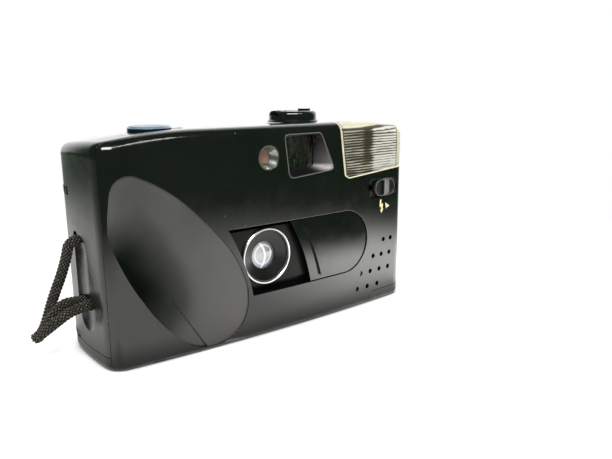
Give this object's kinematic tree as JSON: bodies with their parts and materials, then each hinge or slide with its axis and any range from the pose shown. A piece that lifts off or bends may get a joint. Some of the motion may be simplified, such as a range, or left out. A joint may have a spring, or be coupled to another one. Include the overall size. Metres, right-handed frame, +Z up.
{
  "type": "compact film camera",
  "caption": "Compact 35 mm film camera with a sliding lens cover, flash window, folding rewind crank, hinged back and a braided wrist cord.",
  "frame": {"origin": "middle of the foot: centre of the camera's base, on the ground plane", "axes": "+X from the grip to the flash end, +Y from the lens side to the back, +Z up"},
  "size_m": [0.1465, 0.0414, 0.0773],
  "materials": {
    "case": "gloss black moulded plastic",
    "matte_black": "matte black plastic",
    "knob": "satin black plastic",
    "dial": "white plastic",
    "bright_ring": "turned bright face",
    "steel": "zinc plated",
    "blackened": "matte black",
    "brass": "turned",
    "lens_glass": "coated, clear",
    "window": "clear moulded acrylic",
    "lamp": "orange lens",
    "smoke": "smoke tinted acrylic",
    "diffuser": "ribbed acrylic",
    "mirror": "bright aluminium sheet",
    "tube": "glass tube",
    "sleeve": "shrink sleeve over aluminium",
    "board": "glass-filled board",
    "coil": "taped winding",
    "braid": "dark braided cord with gold flecks"
  },
  "bodies": {
    "camera": {"front_cover": "case", "top_cover": "case", "counter_window": "window", "bottom_cover": "case", "tripod_bush": "brass", "case_screws": "steel", "battery_cell": "sleeve", "battery_contact": "steel", "main_frame": "matte_black", "frame_floor": "matte_black", "frame_roof": "matte_black", "left_side": "case", "right_side": "case", "lens_panel": "matte_black", "lens_ring": "bright_ring", "lens_hood": "matte_black", "front_lens": "lens_glass", "rear_lens": "lens_glass", "lens_cell": "matte_black", "shutter_plate": "blackened", "hinge_pin": "steel", "finder_bezel": "matte_black", "finder_window": "window", "finder_tunnel": "matte_black", "eyepiece": "window", "cell_hood": "matte_black", "light_cell": "matte_black", "ready_lamp": "lamp", "flash_window": "smoke", "flash_diffuser": "diffuser", "flash_reflector": "mirror", "flash_tube": "tube", "capacitor": "sleeve", "flash_board": "board", "transformer": "coil", "strap_cord": "braid", "strap_tail": "braid"},
    "battery_door": {"battery_door": "case", "battery_spring": "steel"},
    "lens_cover": {"lens_cover": "case"},
    "shutter_blade": {"shutter_blade": "blackened"},
    "thumb_wheel": {"thumb_wheel": "matte_black"},
    "take_up_spool": {"take_up_spool": "matte_black", "spool_rims": "matte_black", "take_up_gear": "matte_black"},
    "sprocket": {"sprocket": "matte_black", "sprocket_shaft": "steel"},
    "counter_dial": {"counter_dial": "dial"},
    "rewind_knob": {"rewind_knob": "knob", "crank_pin": "steel", "rewind_fork": "matte_black"},
    "rewind_crank": {"rewind_crank": "knob"},
    "shutter_button": {"shutter_button": "case", "button_spring": "steel"},
    "back_door": {"back_door": "case", "pressure_plate": "blackened", "plate_spring": "steel", "cassette_spring": "steel"},
    "door_latch": {"door_latch": "case"},
    "flash_switch": {"flash_switch": "case"}
  },
  "joints": [
    {"name": "lens_cover_slide", "type": "slide", "parent": "camera", "child": "lens_cover", "axis": [1, 0, 0], "range_m": [-0.0253, 0]},
    {"name": "battery_door_slide", "type": "slide", "parent": "camera", "child": "battery_door", "axis": [1, 0, 0], "range_m": [0, 0.024]},
    {"name": "shutter_blade_pivot", "type": "hinge", "parent": "camera", "child": "shutter_blade", "pos_m": [-0.0029, -0.0049, 0.043], "axis": [0, 1, 0], "range_deg": [-29, 0], "stiffness_Nm_per_rad": 0.0002, "springref_deg": 20.05},
    {"name": "take_up_turn", "type": "hinge", "parent": "camera", "child": "take_up_spool", "pos_m": [-0.0455, -0.0015, 0.028], "axis": [0, 0, 1], "continuous": true},
    {"name": "thumb_wheel_turn", "type": "hinge", "parent": "camera", "child": "thumb_wheel", "pos_m": [-0.0455, 0.0084, 0.058], "axis": [0, 0, 1], "continuous": true},
    {"name": "sprocket_turn", "type": "hinge", "parent": "camera", "child": "sprocket", "pos_m": [-0.0322, 0.0065, 0.028], "axis": [0, 0, 1], "continuous": true},
    {"name": "counter_dial_turn", "type": "hinge", "parent": "camera", "child": "counter_dial", "pos_m": [-0.024, 0.0045, 0.068], "axis": [0, 0, 1], "continuous": true},
    {"name": "rewind_turn", "type": "hinge", "parent": "camera", "child": "rewind_knob", "pos_m": [0.0235, 0.0051, 0.074], "axis": [0, 0, 1], "continuous": true},
    {"name": "rewind_crank_fold", "type": "hinge", "parent": "rewind_knob", "child": "rewind_crank", "pos_m": [0.018, 0.0051, 0.0757], "axis": [0, 1, 0], "range_deg": [-165, 0]},
    {"name": "shutter_button_press", "type": "slide", "parent": "camera", "child": "shutter_button", "axis": [0, 0, 1], "range_m": [-0.0012, 0], "stiffness_N_per_m": 800, "springref_m": 0.001, "deforming": ["button_spring"]},
    {"name": "back_door_hinge", "type": "hinge", "parent": "camera", "child": "back_door", "pos_m": [-0.0619, 0.00985, 0.03], "axis": [0, 0, 1], "range_deg": [0, 100]},
    {"name": "door_latch_slide", "type": "slide", "parent": "camera", "child": "door_latch", "axis": [0, 0, 1], "range_m": [-0.004, 0], "stiffness_N_per_m": 150, "springref_m": 0.002},
    {"name": "flash_switch_slide", "type": "slide", "parent": "camera", "child": "flash_switch", "axis": [1, 0, 0], "range_m": [-0.0048, 0]}
  ],
  "couplings": [
    {"joint": "thumb_wheel_turn", "follows": "take_up_turn", "ratio": -1},
    {"joint": "counter_dial_turn", "follows": "sprocket_turn", "ratio": -0.033333}
  ]
}
